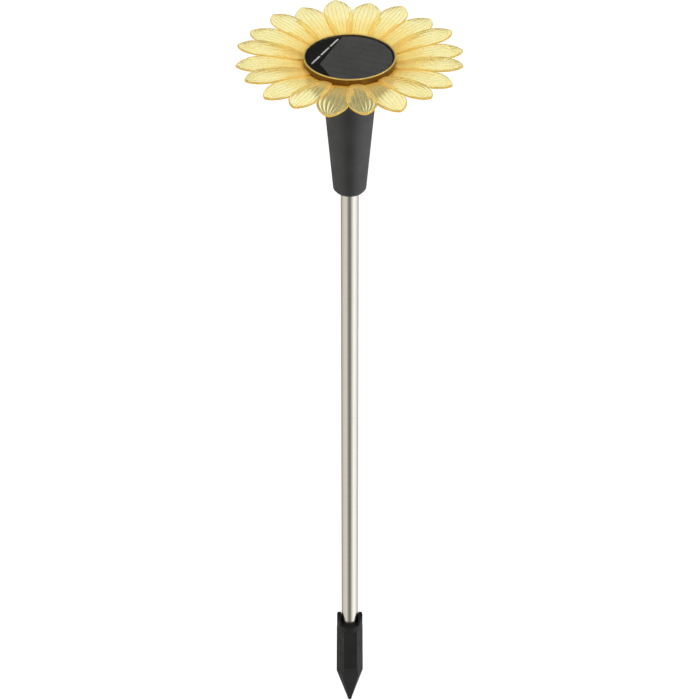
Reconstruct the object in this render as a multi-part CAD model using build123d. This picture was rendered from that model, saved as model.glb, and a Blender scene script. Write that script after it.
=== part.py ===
from build123d import *
import math
import os

# Solar garden light shaped like a daisy on a stick: a ground spike, a two-piece
# steel pole, a tapered handle that holds the battery bay, and a flower head with a
# round solar panel. Millimetres. The origin is the tip of the spike, +Z runs up the
# pole, and -Y is the front.

# ---------------------------------------------------------------- driving dimensions

# ground spike
tip_radius = 2.1
shoulder_z = 40.0
shoulder_radius = 13.3
front_shoulder_z = 52.0
hex_top_z = 99.5
hex_top_radius = 12.9
hex_twist = 4.0
neck_height = 0.8
neck_radius = 12.3
collar_radius = 12.7
collar_z = hex_top_z + neck_height
scoop_floor_z = 106.6
scoop_half_width = 8.4
scoop_corner_radius = 2.5
lug_round_z = 106.4
lug_round_radius = 8.3
lug_top_z = lug_round_z + lug_round_radius
lug_edge_radius = 1.6
socket_floor_z = 80.0

# pole
pole_radius = 8.0
pole_wall = 0.6
seam_z = 364.0
pole_top_z = 650.0
joiner_half_length = 32.0
joiner_wall = 1.0
fit_gap = 0.09
end_chamfer = 0.12

# swivel bush on the pole's top
bush_cap_z = pole_top_z + 2.0
bush_radius = 11.9
bush_lip_radius = 13.0
bush_lip_height = 1.2

# handle
handle_bottom_z = 616.5
handle_top_z = 725.8
handle_bottom_radius = 14.75
handle_top_radius = 24.3
handle_wall = 2.0
handle_edge_radius = 1.4
sleeve_wall = 1.8
partition_z = bush_cap_z + 0.3
partition_height = 2.0
spigot_radius = 21.9
spigot_bottom_z = 717.0

# head cup
cup_floor_z = 726.0
cup_floor = 1.8
cup_wall = 1.8
cup_bottom_radius = 38.3
cup_top_radius = 39.6
cup_top_z = 741.5
cup_edge_radius = 1.6
gasket_height = 0.5

# petals
petals_per_layer = 10
petal_angle = 97.6
petal_root_r = 36.0
petal_tip_r = 98.8
petal_thickness = 1.8
lower_root_z = cup_top_z + gasket_height + petal_thickness
lower_middle_z = 749.6
lower_tip_z = 749.2
lower_root_half = 9.0
lower_wide_half = 14.0
lower_wide_r = 75.5
upper_root_z = lower_root_z + 2.0
upper_middle_z = 751.6
upper_tip_z = 751.8
upper_root_half = 5.0
upper_wide_half = 12.6
upper_wide_r = 79.0
middle_r = 68.0
flange_inner_r = 33.0

# rim round the panel
rim_outer_r = 40.2
rim_inner_r = 38.8
rim_top_z = 750.3

# panel stack
carrier_z = lower_root_z + petal_thickness
carrier_thickness = 1.4
carrier_opening_r = 18.0
board_thickness = 1.0
panel_radius = 38.2
panel_top_z = 749.7
cell_thickness = 0.4
cell_radius = 37.0
cell_left_edge = 19.7
cell_corner_sum = 39.0
cell_turn = -22.0
ribbon_turn = -27.7
ribbon_offset = 24.1
ribbon_length = 48.0
ribbon_count = 3
ribbon_gap = 2.6
ribbon_width = 1.2
ribbon_thickness = 0.15

# circuit board and what stands on it
circuit_z = 733.0
circuit_thickness = 1.6
circuit_radius = 36.2
led_count = 6
led_radius = 1.5
led_axis_z = 743.7
led_tip_r = 32.6

# fixings
post_angles = (30.0, 150.0, 270.0)
post_ring_r = 29.8
post_radius = 3.0
post_bottom_z = 731.0
screw_radius = 1.25
screw_head_radius = 2.35
screw_head_height = 1.5
screw_top_z = 739.0

# switch
switch_y = 31.0
switch_length = 8.6
switch_width = 3.8
switch_height = 3.5
knob_length = 2.2
knob_width = 1.8
knob_travel = 2.0
knob_bottom_z = cup_floor_z - 0.5
knob_gap = 0.3
recess_depth = 0.9

# battery bay
battery_radius = 7.1
sleeve_thickness = 0.15
battery_top_z = 724.8
battery_length = 49.3
nub_radius = 2.7
nub_height = 1.2
tube_wall = 1.6
tube_bore = 7.6
tube_bottom_z = 668.5
tube_floor = 1.5
tube_flange_radius = 13.0
tube_flange = 1.4
wire_radius = 0.55

# ------------------------------------------------------------------------- helpers


def column(radius, low, high, x=0.0, y=0.0):
    """A round bar standing on Z between two heights."""
    bar = Cylinder(radius, high - low, align=(Align.CENTER, Align.CENTER, Align.MIN))
    return Pos(x, y, low) * bar


def tube(outer, inner, low, high):
    """A round tube standing on the main axis."""
    return column(outer, low, high) - column(inner, low - 1, high + 1)


def block(x_size, y_size, low, high, x=0.0, y=0.0):
    """A rectangular block standing on Z between two heights."""
    solid = Box(x_size, y_size, high - low, align=(Align.CENTER, Align.CENTER, Align.MIN))
    return Pos(x, y, low) * solid


def turned(points):
    """A solid of revolution about Z from a closed list of (radius, height)."""
    outline = Polyline(*[(r, 0, z) for r, z in points], close=True)
    return revolve(make_face(outline), Axis.Z)


def cone_radius(z, low_z, low_r, high_z, high_r):
    """Radius of a straight cone at height z."""
    return low_r + (high_r - low_r) * (z - low_z) / (high_z - low_z)


def on_ring(radius, degrees):
    """X and Y of a point on a circle about the main axis."""
    turn = math.radians(degrees)
    return radius * math.cos(turn), radius * math.sin(turn)


def save(node, *solids):
    """Write one sub-part, as one solid or as a group of separate solids."""
    shape = solids[0] if len(solids) == 1 else Compound(children=list(solids))
    shape.label = node
    export_step(shape, f"parts/{node}.step")


# ------------------------------------------------------------------- spike and pole


def hex_section(z, radius):
    """Regular six-sided outline with corners to the left and right."""
    return Plane.XY.offset(z) * RegularPolygon(radius, 6, rotation=hex_twist)


def point_section(z, side_radius, front_flat):
    """Six-sided outline of the spike's point, with its front and back at their own distance."""
    side_flat = side_radius * math.cos(math.radians(30))
    front_x = (side_flat - front_flat / 2) / math.cos(math.radians(30))
    corners = [
        (side_radius, 0),
        (front_x, front_flat),
        (-front_x, front_flat),
        (-side_radius, 0),
        (-front_x, -front_flat),
        (front_x, -front_flat),
    ]
    outline = make_face(Polyline(*corners, close=True))
    return Pos(0, 0, z) * Rot(0, 0, hex_twist) * outline


def spike_point():
    """Long six-sided point: its front and back faces start above the side ones."""
    rise = (front_shoulder_z - tip_radius) / (shoulder_z - tip_radius)
    side_radius = tip_radius + (shoulder_radius - tip_radius) * rise
    flat_share = math.cos(math.radians(30))
    low = point_section(tip_radius, tip_radius, tip_radius * flat_share)
    high = point_section(front_shoulder_z, side_radius, shoulder_radius * flat_share)
    return loft([low, high], ruled=True) + Pos(0, 0, tip_radius) * Sphere(tip_radius)


def hex_bar(low, high):
    """Six-sided bar of the spike's taper between two heights."""
    low_radius = cone_radius(low, shoulder_z, shoulder_radius, hex_top_z, hex_top_radius)
    high_radius = cone_radius(high, shoulder_z, shoulder_radius, hex_top_z, hex_top_radius)
    return loft([hex_section(low, low_radius), hex_section(high, high_radius)], ruled=True)


def lug_collar():
    """Round collar whose top is left as two round-topped lugs, one on each side."""
    ring = column(collar_radius, collar_z, lug_top_z)
    ring = fillet(ring.edges().group_by(Axis.Z)[-1], lug_edge_radius)
    width = 4 * collar_radius
    top = Rot(0, 90, 0) * column(lug_round_radius, -width / 2, width / 2)
    side_view = Pos(0, 0, lug_round_z) * top + block(width, width, 0, scoop_floor_z)
    ring &= side_view
    gap = block(2 * scoop_half_width, width, scoop_floor_z, lug_top_z + 1)
    return ring - fillet(gap.edges().filter_by(Axis.Y).group_by(Axis.Z)[0], scoop_corner_radius)


def ground_spike():
    """Six-sided spike with a round collar and two lugs that hug the pole."""
    body = hex_bar(0, front_shoulder_z) & spike_point()
    body += hex_bar(front_shoulder_z, hex_top_z)
    body += column(neck_radius, hex_top_z, collar_z)
    body += lug_collar()
    return body - column(pole_radius + fit_gap, socket_floor_z, lug_top_z + 1)


def pole_section(low, high):
    """Thin steel tube with broken outer edges."""
    r = pole_radius
    c = end_chamfer
    bore = pole_radius - pole_wall
    return turned(
        [(bore, low), (r - c, low), (r, low + c), (r, high - c), (r - c, high), (bore, high)]
    )


def pole_joiner():
    """Insert held in the lower tube, free to slide in the upper one."""
    held = pole_radius - pole_wall
    free = held - fit_gap
    low = seam_z - joiner_half_length
    high = seam_z + joiner_half_length
    bore = held - joiner_wall
    nose = 2.0
    return turned(
        [
            (bore, low),
            (held, low),
            (held, seam_z),
            (free, seam_z),
            (free, high - nose),
            (free - nose / 4, high),
            (bore, high),
        ]
    )


# ---------------------------------------------------------------- bush and handle


def swivel_bush():
    """Capped sleeve that slides over the pole and turns inside the handle."""
    lip_top = handle_bottom_z - 0.2
    body = column(bush_radius, lip_top - bush_lip_height, bush_cap_z)
    body += column(bush_lip_radius, lip_top - bush_lip_height, lip_top)
    return body - column(pole_radius + fit_gap, 0, pole_top_z)


def handle_outer_radius(z):
    return cone_radius(z, handle_bottom_z, handle_bottom_radius, handle_top_z, handle_top_radius)


def handle_shell():
    """Tapered shell with a sleeve for the bush below and the battery bay above."""
    bore = bush_radius + fit_gap
    sleeve = bore + sleeve_wall
    pocket_z = handle_bottom_z + 6
    sleeve_top = partition_z + partition_height
    seat = spigot_radius + fit_gap
    outer = turned(
        [
            (0, handle_bottom_z),
            (handle_bottom_radius, handle_bottom_z),
            (handle_top_radius, handle_top_z),
            (0, handle_top_z),
        ]
    )
    outer = fillet(outer.edges().group_by(Axis.Z)[0], handle_edge_radius)
    bay = turned(
        [
            (0, sleeve_top),
            (sleeve, sleeve_top),
            (sleeve, pocket_z + 8),
            (handle_outer_radius(pocket_z + 8) - handle_wall, pocket_z + 8),
            (handle_outer_radius(spigot_bottom_z - 1) - handle_wall, spigot_bottom_z - 1),
            (seat, spigot_bottom_z - 0.5),
            (seat, handle_top_z + 1),
            (0, handle_top_z + 1),
        ]
    )
    return outer - bay - column(bore, 0, partition_z)


# ------------------------------------------------------------------------ head cup


def cup_outer_radius(z):
    return cone_radius(z, cup_floor_z, cup_bottom_radius, cup_top_z, cup_top_radius)


def knob_slot(low, high, margin):
    """Block of space that the switch knob sweeps, with a margin all round."""
    length = knob_length + knob_travel + 2 * margin
    return block(length, knob_width + 2 * margin, low, high, knob_travel / 2, switch_y)


def head_cup():
    """Round housing under the flower, with a spigot that plugs into the handle."""
    floor_top = cup_floor_z + cup_floor
    outer = turned(
        [
            (0, cup_floor_z),
            (cup_bottom_radius, cup_floor_z),
            (cup_top_radius, cup_top_z),
            (0, cup_top_z),
        ]
    )
    outer = fillet(outer.edges().group_by(Axis.Z)[0], cup_edge_radius)
    inner = turned(
        [
            (0, floor_top),
            (cup_outer_radius(floor_top) - cup_wall, floor_top),
            (cup_top_radius - cup_wall, cup_top_z + 1),
            (0, cup_top_z + 1),
        ]
    )
    body = outer - inner
    body += tube(spigot_radius, spigot_radius - 1.8, spigot_bottom_z, cup_floor_z)
    for degrees in post_angles:
        x, y = on_ring(post_ring_r, degrees)
        body += column(post_radius, floor_top, post_bottom_z, x, y)
        body -= column(screw_radius + 0.15, cup_floor_z - 1, post_bottom_z + 1, x, y)
        head_space = cup_floor_z + 0.3 + screw_head_height
        body -= column(screw_head_radius + 0.15, cup_floor_z - 1, head_space, x, y)
    for degrees in (0, 120, 240):
        x, y = on_ring(circuit_radius - 1.5, degrees)
        body += column(1.4, floor_top, circuit_z, x, y)
    body -= column(tube_bore + tube_wall + 0.2, cup_floor_z - 1, floor_top + 1)
    body -= block(12, 5, cup_floor_z - 1, cup_floor_z + recess_depth, knob_travel / 2, switch_y)
    body -= knob_slot(cup_floor_z, floor_top + 1, knob_gap)
    return body


def cup_gasket():
    """Flat rubber ring between the cup and the petals."""
    return tube(cup_top_radius - 0.3, cup_top_radius - cup_wall, cup_top_z, cup_top_z + gasket_height)


# -------------------------------------------------------------------------- petals


def petal_face(root_half, wide_half, wide_r):
    """Plan outline of one petal along +X: waisted root, widest before a round tip."""
    wide_left = (wide_r, wide_half)
    wide_right = (wide_r, -wide_half)
    left = TangentArc(wide_left, (petal_root_r, root_half), tangent=(-1, 0))
    right = TangentArc(wide_right, (petal_root_r, -root_half), tangent=(-1, 0))
    root = Line((petal_root_r, root_half), (petal_root_r, -root_half))
    tip_length = petal_tip_r - wide_r
    tip = EllipticalCenterArc((wide_r, 0), tip_length, wide_half, start_angle=-90, arc_size=180)
    return make_face([left, root, right, tip])


def dish_arc(start_r, heights, drop):
    """Arc across the dish from its inner edge over the petals' arch to their tips."""
    radii = (start_r, middle_r, petal_tip_r)
    return ThreePointArc(*[(r, 0, z - drop) for r, z in zip(radii, heights)])


def petal_dish(start_r, heights):
    """Arched dish, one petal thick, that every petal of a layer is cut from."""
    top = dish_arc(start_r, heights, 0)
    bottom = dish_arc(start_r, heights, petal_thickness)
    inner = Line(top @ 0, bottom @ 0)
    outer = Line(top @ 1, bottom @ 1)
    return revolve(make_face([top, outer, bottom, inner]), Axis.Z)


def petal_layer(first_angle, start_r, heights, face):
    """Ten petals at equal steps, cut from one dish."""
    step = 360 / petals_per_layer
    low = min(heights) - 2 * petal_thickness
    prism = extrude(face, 20)
    stamps = [Pos(0, 0, low) * Rot(0, 0, first_angle - step * k) * prism for k in range(petals_per_layer)]
    dish = petal_dish(start_r, heights)
    return [dish & stamp for stamp in stamps]


def lower_petals():
    """Lower moulding: ten wide petals on a flat clamping flange."""
    first = petal_angle - 180 / petals_per_layer
    heights = (lower_root_z, lower_middle_z, lower_tip_z)
    body = tube(rim_outer_r + 1.5, flange_inner_r, lower_root_z - petal_thickness, lower_root_z)
    face = petal_face(lower_root_half, lower_wide_half, lower_wide_r)
    for petal in petal_layer(first, rim_outer_r, heights, face):
        body += petal
    return body


def upper_petals():
    """Upper moulding: ten petals, the clamping flange and the rim round the panel."""
    heights = (upper_root_z, upper_middle_z, upper_tip_z)
    body = tube(rim_outer_r, flange_inner_r, lower_root_z, carrier_z)
    wall = tube(rim_outer_r, rim_inner_r, lower_root_z, rim_top_z)
    body += fillet(wall.edges().group_by(Axis.Z)[-1], 0.4)
    face = petal_face(upper_root_half, upper_wide_half, upper_wide_r)
    for petal in petal_layer(petal_angle, rim_inner_r, heights, face):
        body += petal
    return body


# -------------------------------------------------------------------- solar panel

board_z = carrier_z + carrier_thickness
cell_z = board_z + board_thickness
ribbon_z = cell_z + cell_thickness


def panel_carrier():
    """Ring plate that the panel is glued to, with three screw posts."""
    body = tube(rim_inner_r - 0.2, carrier_opening_r, carrier_z, board_z)
    for degrees in post_angles:
        x, y = on_ring(post_ring_r, degrees)
        body += column(post_radius, post_bottom_z, carrier_z, x, y)
        body -= column(screw_radius, post_bottom_z - 1, screw_top_z, x, y)
    return body


def panel_board():
    """Black backing board of the solar panel."""
    body = column(panel_radius, board_z, cell_z)
    for x in (-6, 6):
        body -= column(wire_radius + 0.1, board_z - 1, cell_z + 1, x)
    return body


def solar_cell():
    """Silicon wafer: a disc with one long straight edge and one clipped corner."""
    wafer = column(cell_radius, cell_z, ribbon_z)
    reach = 2 * cell_radius
    wafer -= block(reach, 2 * reach, cell_z - 1, ribbon_z + 1, -cell_left_edge - reach / 2)
    corner = block(reach, 2 * reach, cell_z - 1, ribbon_z + 1, -cell_corner_sum / math.sqrt(2) - reach / 2)
    wafer -= Rot(0, 0, 45) * corner
    return Rot(0, 0, cell_turn) * wafer


def ribbon_strips():
    """Broken line of solder ribbon beside the cell's long edge."""
    pitch = (ribbon_length + ribbon_gap) / ribbon_count
    top = ribbon_z + ribbon_thickness
    strips = []
    for k in range(ribbon_count):
        y = (k - (ribbon_count - 1) / 2) * pitch
        strip = block(ribbon_width, pitch - ribbon_gap, cell_z, top, -ribbon_offset, y)
        strips.append(Rot(0, 0, ribbon_turn) * strip)
    return strips


def panel_lens():
    """Clear cast resin over the cell."""
    body = column(panel_radius, cell_z, panel_top_z) - solar_cell()
    for strip in ribbon_strips():
        body -= strip
    return body


def panel_seal():
    """Soft seal between the panel and the rim."""
    return tube(rim_inner_r, panel_radius, board_z, panel_top_z - 0.2)


# --------------------------------------------------------------------- electronics

circuit_top = circuit_z + circuit_thickness


def circuit_board():
    """Round board carrying the charge circuit, with clearance for the posts."""
    body = column(circuit_radius, circuit_z, circuit_top)
    for degrees in post_angles:
        x, y = on_ring(post_ring_r, degrees)
        body -= column(post_radius + 0.15, circuit_z - 1, circuit_top + 1, x, y)
    return body


def led():
    """One lamp lying flat, pointing outwards along +X, on two bent legs."""
    dome_x = led_tip_r - led_radius
    back_x = dome_x - 4.0
    barrel = Pos(back_x, 0, led_axis_z) * Rot(0, 90, 0) * column(led_radius, 0, 4.0)
    collar = Pos(back_x - 0.8, 0, led_axis_z) * Rot(0, 90, 0) * column(led_radius + 0.3, 0, 0.8)
    body = barrel + collar + Pos(dome_x, 0, led_axis_z) * Sphere(led_radius)
    for y in (-0.9, 0.9):
        body += block(0.5, 0.5, circuit_top, led_axis_z + 0.25, back_x - 1.5, y)
        body += block(1.2, 0.5, led_axis_z - 0.25, led_axis_z + 0.25, back_x - 1.15, y)
    return body


def leds():
    step = 360 / led_count
    return [Rot(0, 0, step * k) * led() for k in range(led_count)]


def driver_chip():
    """Eight-legged charge and boost controller."""
    body = block(5.0, 4.0, circuit_top + 0.1, circuit_top + 1.6, -8, 9)
    for k in range(4):
        x = -8 + 1.27 * (k - 1.5)
        body += block(0.4, 6.0, circuit_top, circuit_top + 0.5, x, 9)
    return body


def inductor():
    """Axial choke standing on the board."""
    drum = column(3.0, circuit_top, circuit_top + 5.0, 9, 9)
    waist = column(4.0, circuit_top + 1, circuit_top + 4, 9, 9)
    return drum - (waist - column(1.6, circuit_top, circuit_top + 5, 9, 9))


def capacitor():
    """Electrolytic can."""
    return column(2.5, circuit_top, circuit_top + 6.0, 0, -14)


def resistors():
    """Small surface-mounted parts in a row."""
    return [block(2.0, 1.25, circuit_top, circuit_top + 0.6, 4 * k - 8, -8) for k in range(5)]


def switch_body():
    """Slide switch standing on the cup floor, pins up to the board."""
    low = cup_floor_z + cup_floor
    body = block(switch_length, switch_width, low, low + switch_height, knob_travel / 2, switch_y)
    body -= knob_slot(low - 1, low + switch_height - 1, knob_gap)
    for k in (-1, 0, 1):
        body += block(0.5, 0.3, low + switch_height, circuit_z, knob_travel / 2 + 2.5 * k, switch_y)
    return body


def switch_knob():
    """Sliding knob of the on-off switch, reached from under the cup."""
    top = cup_floor_z + cup_floor + switch_height - 1 - knob_gap
    body = block(knob_length, knob_width, knob_bottom_z, top, 0, switch_y)
    for x in (-0.55, 0.55):
        body -= block(0.3, knob_width + 1, knob_bottom_z - 1, knob_bottom_z + 0.3, x, switch_y)
    return body


def case_screw():
    """Cross-recessed screw driven up from under the cup."""
    low = cup_floor_z + 0.3
    body = column(screw_head_radius, low, low + screw_head_height)
    body += column(screw_radius, low + screw_head_height, screw_top_z - 1)
    body -= block(3.0, 0.6, low - 1, low + 0.8)
    body -= block(0.6, 3.0, low - 1, low + 0.8)
    return body


def case_screws():
    screws = []
    for degrees in post_angles:
        x, y = on_ring(post_ring_r, degrees)
        screws.append(Pos(x, y, 0) * case_screw())
    return screws


# ---------------------------------------------------------------------- battery bay

tube_top_z = cup_floor_z + cup_floor
contact_z = battery_top_z + nub_height
battery_bottom_z = battery_top_z - battery_length


def battery_tube():
    """Open-sided tube that hangs from the cup floor and holds the cell."""
    outer = tube_bore + tube_wall
    body = column(outer, tube_bottom_z, tube_top_z)
    body += column(tube_flange_radius, tube_top_z, tube_top_z + tube_flange)
    body -= column(tube_bore, tube_bottom_z + tube_floor, contact_z + 0.3)
    window_low = tube_bottom_z + 8
    window_high = battery_top_z - 3
    body -= block(20, 2 * tube_bore, window_low, window_high, 0, -10 - 2)
    for x in (-4.5, 4.5):
        body -= column(wire_radius + 0.15, contact_z, tube_top_z + tube_flange + 1, x)
    wire_y = tube_bore + tube_wall / 2
    body -= column(wire_radius + 0.15, tube_bottom_z + 3, tube_top_z + 5, 0, wire_y)
    return body


def battery_cell():
    """Rechargeable AA cell, plus end up."""
    body = column(battery_radius, battery_bottom_z, battery_top_z)
    return body + column(nub_radius, battery_top_z, contact_z)


def battery_sleeve():
    """Printed shrink sleeve, left plain."""
    outer = battery_radius + sleeve_thickness
    body = tube(outer, battery_radius, battery_bottom_z, battery_top_z)
    return body


def battery_plate():
    """Plus contact under the cup floor."""
    return column(tube_bore - 0.2, contact_z, contact_z + 0.3)


def battery_spring():
    """Minus contact: a folded leaf that presses the cell upwards."""
    low = tube_bottom_z + tube_floor
    high = battery_bottom_z
    t = 0.3
    reach = 6.0
    points = [(-reach, low), (reach, low), (reach, low + t), (t - reach, low + t), (reach - 2, high - t)]
    points += [(reach - 2, high), (reach - 4, high), (-reach, low + 2 * t)]
    leaf = make_face(Polyline(*[(x, 0, z) for x, z in points], close=True))
    return Pos(0, 2, 0) * extrude(leaf, 4, dir=(0, -1, 0))


def straight_wire(x, y, low, high):
    return column(wire_radius, low, high, x, y)


def red_wires():
    """Plus leads: panel to board, and battery plate to board."""
    panel = straight_wire(6, 0, circuit_top, cell_z)
    battery = straight_wire(4.5, 0, contact_z + 0.3, circuit_z)
    return [panel, battery]


def black_wires():
    """Minus leads: panel to board, and battery spring up the tube wall to the board."""
    panel = straight_wire(-6, 0, circuit_top, cell_z)
    y = tube_bore + tube_wall / 2
    battery = straight_wire(0, y, tube_bottom_z + 3, circuit_z)
    return [panel, battery]


# --------------------------------------------------------------------------- build

os.makedirs("parts", exist_ok=True)

save("ground_spike", ground_spike())
save("pole_lower_tube", pole_section(socket_floor_z, seam_z))
save("pole_joiner", pole_joiner())
save("pole_upper_tube", pole_section(seam_z, pole_top_z))
save("swivel_bush", swivel_bush())
save("handle_shell", handle_shell())
save("head_cup", head_cup())
save("cup_gasket", cup_gasket())
save("lower_petals", lower_petals())
save("upper_petals", upper_petals())
save("panel_carrier", panel_carrier())
save("panel_board", panel_board())
save("solar_cell", solar_cell())
save("cell_ribbon", *ribbon_strips())
save("panel_lens", panel_lens())
save("panel_seal", panel_seal())
save("circuit_board", circuit_board())
save("leds", *leds())
save("driver_chip", driver_chip())
save("inductor", inductor())
save("capacitor", capacitor())
save("resistors", *resistors())
save("switch_body", switch_body())
save("switch_knob", switch_knob())
save("case_screws", *case_screws())
save("battery_tube", battery_tube())
save("battery_cell", battery_cell())
save("battery_sleeve", battery_sleeve())
save("battery_plate", battery_plate())
save("battery_spring", battery_spring())
save("red_wires", *red_wires())
save("black_wires", *black_wires())
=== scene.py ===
import math

import bmesh
import bpy
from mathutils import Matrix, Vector


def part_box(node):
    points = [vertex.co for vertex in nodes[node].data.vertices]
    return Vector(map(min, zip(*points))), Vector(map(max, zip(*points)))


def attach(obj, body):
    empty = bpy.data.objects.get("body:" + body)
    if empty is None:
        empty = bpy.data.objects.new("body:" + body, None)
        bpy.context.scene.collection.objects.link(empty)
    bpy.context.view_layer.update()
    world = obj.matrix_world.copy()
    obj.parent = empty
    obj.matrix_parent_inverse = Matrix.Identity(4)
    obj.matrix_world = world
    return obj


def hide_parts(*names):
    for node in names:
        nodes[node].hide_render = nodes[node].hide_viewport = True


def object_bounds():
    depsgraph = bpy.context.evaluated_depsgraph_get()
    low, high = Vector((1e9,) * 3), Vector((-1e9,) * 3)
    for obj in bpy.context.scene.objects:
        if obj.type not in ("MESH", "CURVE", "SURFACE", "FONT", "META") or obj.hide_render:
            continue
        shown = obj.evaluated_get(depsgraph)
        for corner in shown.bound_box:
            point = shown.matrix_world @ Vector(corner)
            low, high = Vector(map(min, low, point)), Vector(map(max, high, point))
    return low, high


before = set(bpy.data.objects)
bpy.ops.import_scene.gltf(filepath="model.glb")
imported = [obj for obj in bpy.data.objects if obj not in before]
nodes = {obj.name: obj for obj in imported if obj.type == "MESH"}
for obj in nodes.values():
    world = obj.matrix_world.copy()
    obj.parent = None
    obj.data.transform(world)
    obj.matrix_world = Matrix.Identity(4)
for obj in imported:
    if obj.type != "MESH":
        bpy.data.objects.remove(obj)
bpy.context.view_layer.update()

# Solar garden light: looks. Everything is in metres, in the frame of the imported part.

MM = 0.001


# ------------------------------------------------------------------ places from the frame


def reach(node):
    """Largest distance of a node's points from the pole's axis."""
    return max(math.hypot(v.co.x, v.co.y) for v in nodes[node].data.vertices)


def low(node):
    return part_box(node)[0].z


def high(node):
    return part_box(node)[1].z


PLATE = 1.8 * MM
TIP_R = reach("upper_petals")
ROOT_R = reach("panel_seal") + 0.9 * MM
WALL_IN = reach("panel_seal")
WALL_OUT = WALL_IN + 1.4 * MM
LOWER_FLANGE_Z = low("lower_petals")
UPPER_FLANGE_Z = LOWER_FLANGE_Z + PLATE
CARRIER_Z = UPPER_FLANGE_Z + PLATE
PANEL_TOP = high("panel_lens")
PANEL_R = reach("panel_board")
CELL_TOP = high("solar_cell")
FLANGE_IN = WALL_IN - 5.8 * MM


# ------------------------------------------------------------------------- node helpers


def new_material(name):
    """A material with a fresh Principled shader; returns it, its tree and the shader."""
    mat = bpy.data.materials.new(name)
    mat.use_nodes = True
    tree = mat.node_tree
    return mat, tree, tree.nodes["Principled BSDF"]


def add(tree, kind, **inputs):
    """A node of that kind, with input sockets set by name."""
    node = tree.nodes.new(kind)
    for name, value in inputs.items():
        node.inputs[name.replace("_", " ")].default_value = value
    return node


def join(tree, source, target):
    tree.links.new(source, target)


def coords(tree, stretch=(1, 1, 1), turn=0.0):
    """Object coordinates in metres, stretched and turned about Z."""
    place = tree.nodes.new("ShaderNodeTexCoord")
    mapping = tree.nodes.new("ShaderNodeMapping")
    mapping.inputs["Scale"].default_value = stretch
    mapping.inputs["Rotation"].default_value = (0, 0, turn)
    join(tree, place.outputs["Object"], mapping.inputs["Vector"])
    return mapping.outputs["Vector"]


def noise(tree, vector, scale, detail=3.0, roughness=0.55):
    node = add(tree, "ShaderNodeTexNoise", Scale=scale, Detail=detail, Roughness=roughness)
    join(tree, vector, node.inputs["Vector"])
    return node.outputs["Fac"]


def remap(tree, value, out_low, out_high, in_low=0.3, in_high=0.7):
    """Value from one range to another, clamped."""
    node = tree.nodes.new("ShaderNodeMapRange")
    node.inputs["From Min"].default_value = in_low
    node.inputs["From Max"].default_value = in_high
    node.inputs["To Min"].default_value = out_low
    node.inputs["To Max"].default_value = out_high
    join(tree, value, node.inputs["Value"])
    return node.outputs["Result"]


def blend_colours(tree, factor, first, second):
    """Colour between two plain colours by a factor."""
    node = tree.nodes.new("ShaderNodeMix")
    node.data_type = "RGBA"
    node.inputs["A"].default_value = (*first, 1)
    node.inputs["B"].default_value = (*second, 1)
    join(tree, factor, node.inputs["Factor"])
    return node.outputs["Result"]


def bump(tree, shader, height, strength, distance):
    node = add(tree, "ShaderNodeBump", Strength=strength, Distance=distance)
    join(tree, height, node.inputs["Height"])
    join(tree, node.outputs["Normal"], shader.inputs["Normal"])


def scaled(colour, k):
    return tuple(min(1.0, c * k) for c in colour)


# --------------------------------------------------------------------------- materials

# Per-point tint of the amber mesh: the plastic's colour plus painted light, that is a painted edge glow and
# painted shade in the grooves, at the roots and on the rim wall.
TINT = "amber_tint_and_painted_light"
# Tint ramp of the amber: the pale and gold stops are the plastic's colour, the orange towards 0.65 serves
# the painted edge glow, and the near-black brown at 1.0 is painted shade for the rim wall and the darkest
# roots.
AMBER = [
    (0.0, (0.98, 0.955, 0.64)),
    (0.35, (0.93, 0.76, 0.25)),
    (0.65, (0.78, 0.45, 0.05)),
    (1.0, (0.15, 0.062, 0.004)),
]


def moulded(name, colour, roughness, grain=1400.0, grain_depth=0.05 * MM, spread=0.25, specular=0.5):
    """Moulded plastic, rubber or painted part: mottled tone, uneven gloss, fine grain."""
    mat, tree, shader = new_material(name)
    place = coords(tree)
    mottle = noise(tree, place, 55.0)
    darker = scaled(colour, 1 - spread)
    lighter = scaled(colour, 1 + spread)
    tone = blend_colours(tree, remap(tree, mottle, 0, 1), darker, lighter)
    join(tree, tone, shader.inputs["Base Color"])
    gloss = remap(tree, noise(tree, place, 140.0), roughness - 0.05, roughness + 0.06)
    join(tree, gloss, shader.inputs["Roughness"])
    shader.inputs["Specular IOR Level"].default_value = specular
    bump(tree, shader, noise(tree, place, grain, 2.0), 0.35, grain_depth)
    return mat


def brushed(name, colour, roughness, around=True):
    """Brushed metal: fine scratches round the tube, or along it, and faint smudges."""
    mat, tree, shader = new_material(name)
    stretch = (30, 30, 2600) if around else (2600, 2600, 30)
    lines = noise(tree, coords(tree, stretch), 1.0, 2.0, 0.7)
    smudge = noise(tree, coords(tree), 22.0, 4.0)
    tone = blend_colours(tree, remap(tree, lines, 0, 1), scaled(colour, 0.95), scaled(colour, 1.03))
    join(tree, tone, shader.inputs["Base Color"])
    uneven = tree.nodes.new("ShaderNodeMath")
    uneven.operation = "ADD"
    join(tree, remap(tree, lines, roughness - 0.03, roughness + 0.04), uneven.inputs[0])
    join(tree, remap(tree, smudge, -0.03, 0.04), uneven.inputs[1])
    join(tree, uneven.outputs["Value"], shader.inputs["Roughness"])
    shader.inputs["Metallic"].default_value = 1.0
    bump(tree, shader, lines, 0.1, 0.004 * MM)
    return mat


def passes_lamps(tree, shader, colour):
    """Lets lamp light through a clear part, tinted, instead of a black shadow."""
    rays = tree.nodes.new("ShaderNodeLightPath")
    through = tree.nodes.new("ShaderNodeBsdfTransparent")
    through.inputs["Color"].default_value = (*colour, 1)
    mix = tree.nodes.new("ShaderNodeMixShader")
    join(tree, rays.outputs["Is Shadow Ray"], mix.inputs["Fac"])
    join(tree, shader.outputs["BSDF"], mix.inputs[1])
    join(tree, through.outputs["BSDF"], mix.inputs[2])
    join(tree, mix.outputs["Shader"], tree.nodes["Material Output"].inputs["Surface"])


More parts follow.
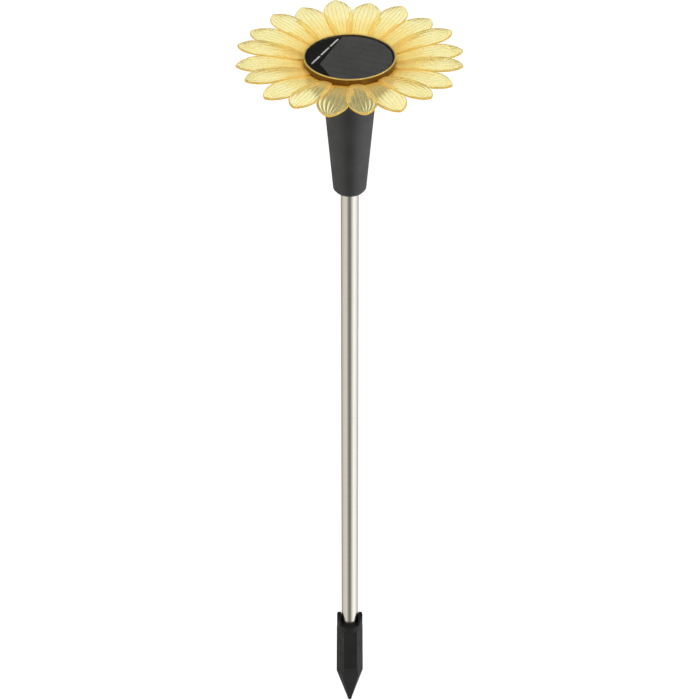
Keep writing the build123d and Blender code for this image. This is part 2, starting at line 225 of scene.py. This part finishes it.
def amber(name):
    """Clear amber plastic: pale on the faces, gold at the roots and grooves, orange at the edges. The orange
    edges are a painted edge glow, the darker grooves painted shade, the roots the plastic's gold with
    painted shade under the rim, and the dark rim wall painted shade.
    """
    mat, tree, shader = new_material(name)
    place = coords(tree)
    depth = tree.nodes.new("ShaderNodeAttribute")
    depth.attribute_name = TINT
    flow = tree.nodes.new("ShaderNodeMath")
    flow.operation = "ADD"
    join(tree, depth.outputs["Fac"], flow.inputs[0])
    join(tree, remap(tree, noise(tree, place, 70.0, 2.0), -0.04, 0.07), flow.inputs[1])
    ramp = tree.nodes.new("ShaderNodeValToRGB")
    elements = ramp.color_ramp.elements
    while len(elements) < len(AMBER):
        elements.new(0.5)
    for element, (at, colour) in zip(elements, AMBER):
        element.position = at
        element.color = (*colour, 1)
    join(tree, flow.outputs["Value"], ramp.inputs["Fac"])
    join(tree, ramp.outputs["Color"], shader.inputs["Base Color"])
    join(tree, remap(tree, noise(tree, place, 300.0), 0.06, 0.14), shader.inputs["Roughness"])
    shader.inputs["IOR"].default_value = 1.45
    clear = remap(tree, flow.outputs["Value"], 0.85, 0.35, 0.0, 0.7)
    join(tree, clear, shader.inputs["Transmission Weight"])
    bump(tree, shader, noise(tree, place, 260.0, 2.0), 0.07, 0.05 * MM)
    body = tree.nodes.new("ShaderNodeVolumeAbsorption")
    body.inputs["Color"].default_value = (0.98, 0.89, 0.15, 1)
    body.inputs["Density"].default_value = 90.0
    join(tree, body.outputs["Volume"], tree.nodes["Material Output"].inputs["Volume"])
    passes_lamps(tree, shader, (0.98, 0.9, 0.62))
    return mat


def clear_resin(name):
    """Poured clear resin over the solar cell."""
    mat, tree, shader = new_material(name)
    place = coords(tree)
    cloud = remap(tree, noise(tree, place, 30.0), 0, 1)
    tint = blend_colours(tree, cloud, (0.93, 0.93, 0.94), (0.98, 0.98, 0.98))
    join(tree, tint, shader.inputs["Base Color"])
    join(tree, remap(tree, noise(tree, place, 90.0), 0.02, 0.06), shader.inputs["Roughness"])
    shader.inputs["IOR"].default_value = 1.36
    shader.inputs["Transmission Weight"].default_value = 1.0
    passes_lamps(tree, shader, (1, 1, 1))
    return mat


CELL_TURN = math.radians(22)
CELL_PITCH = 9.2 * MM
FINGER_PITCH = 1.5 * MM


def stripes(tree, value, pitch, width):
    """1 on thin lines at a regular pitch, 0 between them."""
    wave = tree.nodes.new("ShaderNodeMath")
    wave.operation = "PINGPONG"
    wave.inputs[1].default_value = pitch / 2
    join(tree, value, wave.inputs[0])
    return remap(tree, wave.outputs["Value"], 1.0, 0.0, width / 2 * 0.6, width / 2 * 1.6)


def silicon(name):
    """Dark silicon wafer cut in strips, with fine printed fingers and a faint mottle."""
    mat, tree, shader = new_material(name)
    place = coords(tree, turn=CELL_TURN)
    axes = tree.nodes.new("ShaderNodeSeparateXYZ")
    join(tree, place, axes.inputs["Vector"])
    mottle = remap(tree, noise(tree, place, 45.0, 4.0), 0, 1)
    body = blend_colours(tree, mottle, (0.05, 0.05, 0.049), (0.07, 0.07, 0.069))
    fingers = stripes(tree, axes.outputs["Y"], FINGER_PITCH, 0.25 * MM)
    gaps = stripes(tree, axes.outputs["Y"], CELL_PITCH, 0.7 * MM)
    lit = tree.nodes.new("ShaderNodeMix")
    lit.data_type = "RGBA"
    lit.inputs["B"].default_value = (0.1, 0.1, 0.1, 1)
    join(tree, body, lit.inputs["A"])
    join(tree, remap(tree, fingers, 0, 0.35, 0, 1), lit.inputs["Factor"])
    cut = tree.nodes.new("ShaderNodeMix")
    cut.data_type = "RGBA"
    cut.inputs["B"].default_value = (0.02, 0.02, 0.022, 1)
    join(tree, lit.outputs["Result"], cut.inputs["A"])
    join(tree, remap(tree, gaps, 0, 0.8, 0, 1), cut.inputs["Factor"])
    join(tree, cut.outputs["Result"], shader.inputs["Base Color"])
    join(tree, remap(tree, noise(tree, place, 200.0), 0.4, 0.55), shader.inputs["Roughness"])
    return mat


def pale_floor(name):
    mat, tree, shader = new_material(name)
    soft = noise(tree, coords(tree), 3.0)
    tone = blend_colours(tree, remap(tree, soft, 0, 1), (0.42, 0.42, 0.42), (0.44, 0.44, 0.44))
    join(tree, tone, shader.inputs["Base Color"])
    shader.inputs["Roughness"].default_value = 1.0
    shader.inputs["Specular IOR Level"].default_value = 0.0
    shader.inputs["Emission Color"].default_value = (1, 1, 1, 1)
    shader.inputs["Emission Strength"].default_value = 0.72
    return mat


# --------------------------------------------------------------------------- mesh code


def mesh_piece(name, points, tints, faces, material, body, replaced, slot_name):
    """A welded, smooth mesh object that rides on a body and stands for CAD nodes."""
    mesh = bpy.data.meshes.new(name)
    mesh.from_pydata(points, [], faces)
    layer = mesh.attributes.new(TINT, "FLOAT", "POINT")
    for value, tint in zip(layer.data, tints):
        value.value = tint
    weld(mesh)
    piece = bpy.data.objects.new(name, mesh)
    bpy.context.scene.collection.objects.link(piece)
    mesh.materials.append(material)
    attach(piece, body)
    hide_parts(*replaced)
    return piece


def lathe(profile, steps, tint=0.0):
    """Points, tints and faces of a closed profile of (radius, height) turned about Z."""
    points = []
    faces = []
    count = len(profile)
    for i in range(steps):
        turn = 2 * math.pi * i / steps
        for r, z in profile:
            points.append((r * math.cos(turn), r * math.sin(turn), z))
    for i in range(steps):
        here = i * count
        after = (i + 1) % steps * count
        for j in range(count):
            k = (j + 1) % count
            faces.append((here + j, after + j, after + k, here + k))
    return points, [tint] * len(points), faces


def rounded(corners, radius, steps=4):
    """A closed profile with every corner eased by a small arc."""
    out = []
    count = len(corners)
    for i in range(count):
        corner = Vector(corners[i])
        before = (Vector(corners[i - 1]) - corner).normalized()
        after = (Vector(corners[(i + 1) % count]) - corner).normalized()
        start = corner + before * radius
        end = corner + after * radius
        for k in range(steps + 1):
            t = k / steps
            out.append(tuple((1 - t) ** 2 * start + 2 * t * (1 - t) * corner + t * t * end))
    return out


def ramp_down(value, start, end):
    """1 up to start, 0 from end on, smooth between them."""
    t = min(1.0, max(0.0, (end - value) / (end - start)))
    return t * t * (3 - 2 * t)


class Petal:
    """Shape of one petal, along +X: its outline, its dished section and its ribs."""

    thickness = 1.6 * MM
    tip_power = 0.68
    fullness = 2.4
    ribs = 7
    rib_height = 0.26 * MM
    edge = 1.1 * MM
    # Painted light: a deeper orange band along the petal edges stands in for light carried inside the
    # plastic, a painted edge glow.
    edge_glow = 1.0 * MM
    painted_edge_glow = 0.56
    # Painted shade: darker colour in the grooves between the ribs.
    groove_shade = 0.3
    # Towards the roots the colour deepens: partly the plastic's gold, partly painted shade under the rim;
    # the collar tint adds painted shade in the first millimetres under the rim.
    root_gold_and_shade = 0.28
    root_fade = 42 * MM
    collar_shade = 0.14
    collar_fade = 12 * MM
    deepest_root = 0.8

    def __init__(self, root_half, wide_half, wide_r, heights, crown, root_crown):
        self.root_half = root_half
        self.wide_half = wide_half
        self.wide_r = wide_r
        self.heights = heights
        self.crown = crown
        self.root_crown = root_crown

    def half_width(self, x):
        if x >= self.wide_r:
            t = min(1.0, (x - self.wide_r) / (TIP_R - self.wide_r))
            return self.wide_half * max(0.0, 1 - t * t) ** self.tip_power
        t = (x - ROOT_R) / (self.wide_r - ROOT_R)
        return self.wide_half - (self.wide_half - self.root_half) * (1 - t) ** self.fullness

    def depth_in(self, x, y):
        """Distance of a point in plan from the petal's outline, near enough."""
        if x >= self.wide_r:
            t = (x - self.wide_r) / (TIP_R - self.wide_r)
            power = 1 / self.tip_power
            v = abs(y) / self.wide_half
            outside = 1 - t * t - v ** power
            slope_x = 2 * t / (TIP_R - self.wide_r)
            slope_y = power * max(v, 1e-6) ** (power - 1) / self.wide_half
            return max(0.0, outside) / max(1e-6, math.hypot(slope_x, slope_y))
        return max(0.0, self.half_width(x) - abs(y))

    def spine(self, x):
        """Height of the middle line: a smooth curve through root, middle and tip."""
        t = (x - ROOT_R) / (TIP_R - ROOT_R)
        root, middle, tip = self.heights
        bend = 2 * (root + tip) - 4 * middle
        slope = 4 * middle - 3 * root - tip
        return root + slope * t + bend * t * t

    def rib_place(self, v):
        """Place across one rib, from -1 in a groove through 0 on the crest to 1."""
        return ((v + 1) * self.ribs / 2) % 1.0 * 2 - 1

    def rib(self, x, v):
        """Height of the rounded lengthwise ribs, fading at the root, the tip and the edges."""
        t = (x - ROOT_R) / (TIP_R - ROOT_R)
        ends = min(1.0, max(0.0, t / 0.12)) * min(1.0, max(0.0, (1 - t) / 0.1))
        sides = min(1.0, max(0.0, (0.97 - abs(v)) / 0.12))
        return self.rib_height * (1 - self.rib_place(v) ** 2) * ends * sides

    def middle(self, x, v):
        """Height of the petal's mid surface: flat inside, turned down at its long edges."""
        t = min(1.0, (x - ROOT_R) / (self.wide_r - ROOT_R))
        drop = self.root_crown + (self.crown - self.root_crown) * t
        return self.spine(x) - drop * (0.4 * v * v + 0.6 * v ** 6) - self.thickness / 2

    def tint(self, x, y, v):
        """Colour with painted light: most at the edges, a painted edge glow, and at the root, the plastic's
        gold with painted shade under the rim; some in the grooves, painted shade.
        """
        # Painted edge glow: orange within edge_glow of the outline.
        side = ramp_down(self.depth_in(x, y), 0.25 * MM, self.edge_glow)
        # Painted shade towards the root and under the rim's collar, over the plastic's deeper gold there.
        root = self.root_gold_and_shade * ramp_down(x, ROOT_R, ROOT_R + self.root_fade)
        root += self.collar_shade * ramp_down(x, ROOT_R - 2 * MM, ROOT_R + self.collar_fade)
        # Painted shade in the grooves between the ribs.
        groove = self.groove_shade * abs(self.rib_place(v)) ** 8
        return max(self.painted_edge_glow * side, min(self.deepest_root, root + groove))

    def rows(self, along, round_tip):
        """Distances from the axis, closer together round the tip."""
        body = [ROOT_R + (self.wide_r - ROOT_R) * i / along for i in range(along)]
        length = TIP_R - self.wide_r
        tip = [self.wide_r + length * math.sin(math.pi / 2 * i / round_tip) for i in range(round_tip + 1)]
        return body + tip

    def columns(self):
        """Places across, from -1 to 1: even over the inner ribs and finer at the edges."""
        inner = 1 - 2 / self.ribs
        count = 6 * (self.ribs - 2)
        middle = [-inner + 2 * inner * i / count for i in range(count + 1)]
        side = [inner + (1 - inner) * math.sin(math.pi / 2 * i / 9) for i in range(1, 10)]
        return [-v for v in reversed(side)] + middle + side

    def shell(self):
        """Points, tints and faces of the closed petal."""
        rows = self.rows(24, 12)
        columns = self.columns()
        wide = len(columns)
        top = []
        bottom = []
        tints = []
        for x in rows:
            half = self.half_width(x)
            for v in columns:
                y = v * half
                inset = min(1.0, self.depth_in(x, y) / self.edge)
                swell = math.sqrt(max(0.0, 1 - (1 - inset) ** 2)) * self.thickness / 2
                middle = self.middle(x, v)
                top.append((x, y, middle + swell + self.rib(x, v) * inset))
                bottom.append((x, y, middle - swell))
                tints.append(self.tint(x, y, v))
        count = len(top)
        faces = []
        for i in range(len(rows) - 1):
            for j in range(wide - 1):
                a = i * wide + j
                faces.append((a, a + wide, a + wide + 1, a + 1))
                b = count + a
                faces.append((b, b + 1, b + wide + 1, b + wide))
        for j in range(wide - 1):
            faces.append((j, j + 1, count + j + 1, count + j))
        return top + bottom, tints + tints, faces


def petal_ring(petal, count, first_angle):
    """All petals of one layer, as points, tints and faces."""
    base_points, base_tints, base_faces = petal.shell()
    points = []
    faces = []
    for k in range(count):
        turn = math.radians(first_angle - 360 * k / count)
        c = math.cos(turn)
        s = math.sin(turn)
        start = len(points)
        points += [(c * x - s * y, s * x + c * y, z) for x, y, z in base_points]
        faces += [tuple(start + i for i in face) for face in base_faces]
    return points, base_tints * count, faces


def combined(*parts):
    points = []
    tints = []
    faces = []
    for more_points, more_tints, more_faces in parts:
        start = len(points)
        points += more_points
        tints += more_tints
        faces += [tuple(start + i for i in face) for face in more_faces]
    return points, tints, faces


def weld(mesh, distance=0.01 * MM, crease=math.radians(40)):
    """Closes seams and collapsed rows, turns every face outwards and keeps real corners crisp."""
    work = bmesh.new()
    work.from_mesh(mesh)
    bmesh.ops.remove_doubles(work, verts=work.verts, dist=distance)
    bmesh.ops.dissolve_degenerate(work, edges=work.edges, dist=distance / 10)
    bmesh.ops.recalc_face_normals(work, faces=work.faces)
    for face in work.faces:
        face.smooth = True
    work.to_mesh(mesh)
    work.free()
    mesh.set_sharp_from_angle(angle=crease)


# --------------------------------------------------------------------------- the flower

PETALS = 10
FIRST_ANGLE = 97.6
TURN_STEPS = 160


def make_flower():
    material = amber("amber_clear")
    lower = Petal(
        root_half=9.4 * MM,
        wide_half=14.1 * MM,
        wide_r=75.5 * MM,
        heights=(UPPER_FLANGE_Z + 0.1 * MM, UPPER_FLANGE_Z + 5.8 * MM, UPPER_FLANGE_Z + 5.4 * MM),
        crown=1.0 * MM,
        root_crown=0.3 * MM,
    )
    upper = Petal(
        root_half=5.0 * MM,
        wide_half=12.6 * MM,
        wide_r=79.0 * MM,
        heights=(CARRIER_Z + 0.1 * MM, CARRIER_Z + 5.9 * MM, CARRIER_Z + 6.2 * MM),
        crown=1.2 * MM,
        root_crown=0.8 * MM,
    )
    ease = 0.3 * MM
    lip = WALL_OUT + 1.5 * MM
    flange_top = UPPER_FLANGE_Z - 0.05 * MM
    flange = rounded(
        [(FLANGE_IN, LOWER_FLANGE_Z), (lip, LOWER_FLANGE_Z), (lip, flange_top), (FLANGE_IN, flange_top)],
        ease,
    )
    rim_top = PANEL_TOP + 0.6 * MM
    rim_foot = rim_top - 0.9 * MM
    wall = rounded(
        [(FLANGE_IN, UPPER_FLANGE_Z), (WALL_OUT, UPPER_FLANGE_Z), (WALL_OUT, rim_foot),
         (WALL_IN, rim_foot), (WALL_IN, CARRIER_Z), (FLANGE_IN, CARRIER_Z)],
        ease,
    )
    bead = rounded(
        [(WALL_IN, rim_foot), (WALL_OUT, rim_foot), (WALL_OUT, rim_top), (WALL_IN, rim_top)], 0.45 * MM
    )
    step = 180 / PETALS
    lower_parts = combined(lathe(flange, TURN_STEPS, 0.4), petal_ring(lower, PETALS, FIRST_ANGLE - step))
    # The rim wall takes tint 1.0, the ramp's near-black brown: painted shade on the wall under the rim bead.
    upper_parts = combined(
        lathe(wall, TURN_STEPS, 1.0), lathe(bead, TURN_STEPS, 0.3), petal_ring(upper, PETALS, FIRST_ANGLE)
    )
    for name, parts in (("lower_petals", lower_parts), ("upper_petals", upper_parts)):
        mesh_piece(name + "_moulding", *parts, material, "head", [name], "petal_plastic")


def make_panel_top():
    """Poured resin: a thin flat disc with a small step of extra faces at its edge."""
    base = CELL_TOP + 0.16 * MM
    flat = base + 0.5 * MM
    edge = PANEL_R - 0.05 * MM
    inside = edge - 0.2 * MM
    profile = [(0.0, base), (inside, base), (edge, base), (edge, flat), (inside, flat), (0.0, flat)]
    resin = clear_resin("poured_resin")
    mesh_piece("panel_resin_disc", *lathe(profile, TURN_STEPS), resin, "head", ["panel_lens"], "panel_resin")


# ------------------------------------------------------------------- CAD node materials


def paint(names, material):
    for name in names:
        for slot in nodes[name].material_slots:
            slot.material = material


def paint_cad():
    housing = moulded("housing_black", (0.014, 0.0145, 0.0145), 0.46, 1600.0, 0.06 * MM)
    paint(["handle_shell", "head_cup", "panel_carrier", "battery_tube"], housing)
    spike = moulded("spike_black", (0.011, 0.011, 0.011), 0.5, 900.0, 0.05 * MM, specular=0.14)
    paint(["ground_spike"], spike)
    paint(["swivel_bush"], moulded("bush_black", (0.02, 0.02, 0.02), 0.5))
    steel = brushed("stainless_tube", (0.68, 0.65, 0.585), 0.2)
    paint(["pole_lower_tube", "pole_upper_tube"], steel)
    paint(["pole_joiner"], brushed("joiner_steel", (0.6, 0.6, 0.6), 0.35, False))
    rubber = moulded("seal_rubber", (0.012, 0.012, 0.012), 0.6, 700.0, 0.08 * MM)
    paint(["cup_gasket", "panel_seal"], rubber)
    paint(["panel_board"], moulded("board_black", (0.002, 0.002, 0.002), 0.6, specular=0.0))
    paint(["solar_cell"], silicon("cell_silicon"))
    paint(["cell_ribbon"], moulded("ribbon_tin", (0.8, 0.8, 0.79), 0.35, 900.0, 0.02 * MM, 0.06))
    paint(["circuit_board"], moulded("board_green", (0.03, 0.2, 0.07), 0.35, 500.0))
    paint(["leds"], moulded("lamp_resin", (0.9, 0.8, 0.5), 0.15, 300.0, 0.01 * MM, 0.05))
    paint(["driver_chip", "resistors", "inductor"], moulded("chip_black", (0.03, 0.03, 0.03), 0.5))
    paint(["capacitor", "battery_cell"], brushed("plain_can", (0.75, 0.75, 0.76), 0.3, False))
    paint(["battery_sleeve"], moulded("sleeve_green", (0.05, 0.35, 0.12), 0.25, 400.0))
    paint(["battery_plate", "battery_spring"], brushed("nickel", (0.8, 0.78, 0.74), 0.22, False))
    paint(["case_screws"], brushed("screw_zinc", (0.7, 0.7, 0.7), 0.3, True))
    paint(["switch_body", "switch_knob"], moulded("switch_grey", (0.09, 0.09, 0.095), 0.4))
    paint(["red_wires"], moulded("sleeving_red", (0.5, 0.02, 0.015), 0.45))
    paint(["black_wires"], moulded("sleeving_black", (0.02, 0.02, 0.02), 0.45))


# ----------------------------------------------------------------- floor, light, camera

AMBIENT = (0.55, 0.55, 0.54)
OVERHEAD = (0.1, 0.1, 0.098)


def make_floor():
    size = 12.0
    mesh = bpy.data.meshes.new("floor")
    corners = [(-size, -size, 0), (size, -size, 0), (size, size, 0), (-size, size, 0)]
    mesh.from_pydata(corners, [], [(0, 1, 2, 3)])
    floor = bpy.data.objects.new("floor", mesh)
    bpy.context.scene.collection.objects.link(floor)
    mesh.materials.append(pale_floor("floor_pale"))
    floor.location.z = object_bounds()[0].z - 0.5 * MM
    floor.visible_glossy = False


def make_world():
    """Soft studio: an even pale room, seen in gloss as dark in front, bright at both sides and
    dimmer overhead."""
    world = bpy.data.worlds.new("studio")
    world.use_nodes = True
    bpy.context.scene.world = world
    tree = world.node_tree
    place = tree.nodes.new("ShaderNodeTexCoord")
    axes = tree.nodes.new("ShaderNodeSeparateXYZ")
    join(tree, place.outputs["Generated"], axes.inputs["Vector"])
    front = tree.nodes.new("ShaderNodeMath")
    front.operation = "MULTIPLY"
    front.inputs[1].default_value = -1.0
    join(tree, axes.outputs["Y"], front.inputs[0])
    turn = tree.nodes.new("ShaderNodeMath")
    turn.operation = "ARCTAN2"
    join(tree, axes.outputs["X"], turn.inputs[0])
    join(tree, front.outputs["Value"], turn.inputs[1])
    share = tree.nodes.new("ShaderNodeMapRange")
    share.inputs["From Min"].default_value = -math.pi
    share.inputs["From Max"].default_value = math.pi
    join(tree, turn.outputs["Value"], share.inputs["Value"])
    ramp = tree.nodes.new("ShaderNodeValToRGB")
    warm = (1.0, 0.975, 0.93)
    olive = (1.0, 0.955, 0.87)
    cool = (1.0, 1.01, 1.03)
    stops = [
        (-180, 0.10, warm), (-145, 0.35, warm), (-95, 0.85, warm), (-45, 1.0, warm), (-15, 0.30, olive),
        (8, 0.22, olive), (35, 1.0, cool), (60, 1.55, cool), (95, 1.2, cool), (145, 0.5, warm),
        (180, 0.10, warm),
    ]
    elements = ramp.color_ramp.elements
    while len(elements) < len(stops):
        elements.new(0.5)
    for element, (degrees, level, colour) in zip(elements, stops):
        element.position = (degrees + 180) / 360
        element.color = (*(level * c for c in colour), 1)
    join(tree, share.outputs["Result"], ramp.inputs["Fac"])
    upward = tree.nodes.new("ShaderNodeMix")
    upward.data_type = "RGBA"
    upward.inputs["B"].default_value = (*OVERHEAD, 1)
    join(tree, remap(tree, axes.outputs["Z"], 0, 0.3, 0.0, 0.25), upward.inputs["Factor"])
    join(tree, ramp.outputs["Color"], upward.inputs["A"])
    rays = tree.nodes.new("ShaderNodeLightPath")
    room = blend_colours(tree, rays.outputs["Is Camera Ray"], AMBIENT, (1, 1, 1))
    seen = tree.nodes.new("ShaderNodeMix")
    seen.data_type = "RGBA"
    join(tree, rays.outputs["Is Glossy Ray"], seen.inputs["Factor"])
    join(tree, room, seen.inputs["A"])
    join(tree, upward.outputs["Result"], seen.inputs["B"])
    join(tree, seen.outputs["Result"], tree.nodes["Background"].inputs["Color"])


def soft_light(name, place, target, width, height, power, colour=(1, 1, 1)):
    data = bpy.data.lights.new(name, "AREA")
    data.shape = "RECTANGLE"
    data.size = width
    data.size_y = height
    data.energy = power
    data.color = colour
    light = bpy.data.objects.new(name, data)
    light.location = place
    light.rotation_euler = (Vector(target) - Vector(place)).to_track_quat("-Z", "Y").to_euler()
    light.visible_glossy = False
    light.visible_transmission = False
    bpy.context.scene.collection.objects.link(light)


def make_lights():
    middle = (0, 0, 0.4)
    soft_light("soft_left", (-1.6, -0.9, 1.0), middle, 0.7, 1.8, 11)
    soft_light("soft_right", (1.5, -1.1, 1.1), middle, 0.7, 1.8, 15, (1.0, 0.98, 0.94))
    soft_light("soft_top", (0.2, 0.4, 2.6), (0, 0, 0.6), 1.6, 1.6, 15)


def make_camera():
    """Looks down at the pole's middle from the front, from well back."""
    pitch = math.radians(35.825)
    distance = 2.5469
    aim = Vector((0, 0, 0.4385))
    data = bpy.data.cameras.new("camera")
    data.sensor_width = 36.0
    data.lens = 141.37
    data.shift_x = 0.0004
    camera = bpy.data.objects.new("camera", data)
    camera.location = aim + Vector((0, -math.cos(pitch), math.sin(pitch))) * distance
    camera.rotation_euler = (math.pi / 2 - pitch, 0, 0)
    bpy.context.scene.collection.objects.link(camera)
    bpy.context.scene.camera = camera


def set_colour_view():
    view = bpy.context.scene.view_settings
    view.view_transform = "Standard"
    view.look = "None"


make_camera()
make_floor()
make_world()
make_lights()
set_colour_view()
paint_cad()
make_flower()
make_panel_top()
